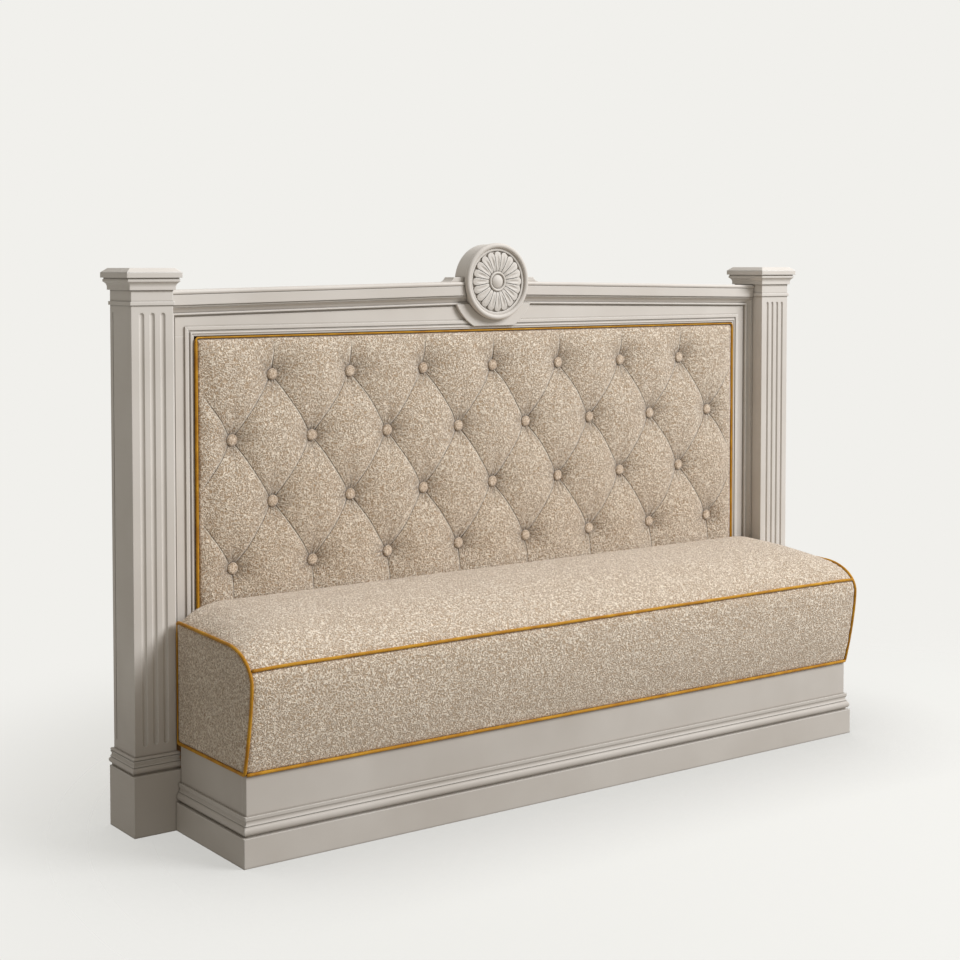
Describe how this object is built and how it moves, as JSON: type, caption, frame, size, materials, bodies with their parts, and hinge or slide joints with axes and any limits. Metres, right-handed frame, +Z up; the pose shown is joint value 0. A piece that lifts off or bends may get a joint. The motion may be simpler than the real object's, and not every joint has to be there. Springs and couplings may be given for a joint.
{
  "type": "upholstered banquette bench",
  "caption": "Free-standing upholstered banquette bench with a box-edge seat, a deep-buttoned back panel and a classical painted frame with fluted posts and a round medallion.",
  "frame": {"origin": "centre of the bench's plan box, on the floor", "axes": "+X along the bench's length, to the right as seen from the front; -Y is the side that people sit on; +Z up"},
  "size_m": [2.0012, 0.4736, 1.2831],
  "materials": {
    "painted_wood": "satin off-white paint",
    "boucle_fabric": "looped wool cloth",
    "gold_piping": "woven cord piping",
    "plywood": "bare",
    "softwood": "bare",
    "twine": "waxed"
  },
  "bodies": {
    "root": {"post_left_block": "painted_wood", "post_left_base": "painted_wood", "post_left_shaft": "painted_wood", "post_left_capital": "painted_wood", "post_left_cap": "painted_wood", "post_right_block": "painted_wood", "post_right_base": "painted_wood", "post_right_shaft": "painted_wood", "post_right_capital": "painted_wood", "post_right_cap": "painted_wood", "base_front_panel": "painted_wood", "base_left_panel": "painted_wood", "base_right_panel": "painted_wood", "base_rear_panel": "softwood", "base_deck": "plywood", "base_left_divider": "softwood", "base_right_divider": "softwood", "plinth_board_front": "painted_wood", "plinth_board_left": "painted_wood", "plinth_board_right": "painted_wood", "base_moulding_front": "painted_wood", "base_moulding_left": "painted_wood", "base_moulding_right": "painted_wood", "lower_rail": "plywood", "top_rail": "painted_wood", "stile_left": "painted_wood", "stile_right": "painted_wood", "outer_moulding_left": "painted_wood", "outer_moulding_right": "painted_wood", "outer_moulding_top_left": "painted_wood", "outer_moulding_top_right": "painted_wood", "inner_moulding_left": "painted_wood", "inner_moulding_right": "painted_wood", "inner_moulding_top": "painted_wood", "cornice_left": "painted_wood", "cornice_right": "painted_wood", "spandrel_plate": "painted_wood", "medallion_drum": "painted_wood", "medallion_rim": "painted_wood", "rosette_petals": "painted_wood", "rosette_boss": "painted_wood", "pad_board": "plywood", "batten_left": "softwood", "batten_right": "softwood", "rear_panel": "softwood", "button_ties": "twine", "back_pad": "boucle_fabric", "back_piping": "gold_piping", "button_row_1": "boucle_fabric", "button_row_2": "boucle_fabric", "button_row_3": "boucle_fabric", "button_row_4": "boucle_fabric", "seat_board": "plywood", "seat_cushion": "boucle_fabric", "seat_piping_left": "gold_piping", "seat_piping_right": "gold_piping", "seat_piping_front": "gold_piping", "seat_piping_bottom": "gold_piping"}
  },
  "joints": []
}
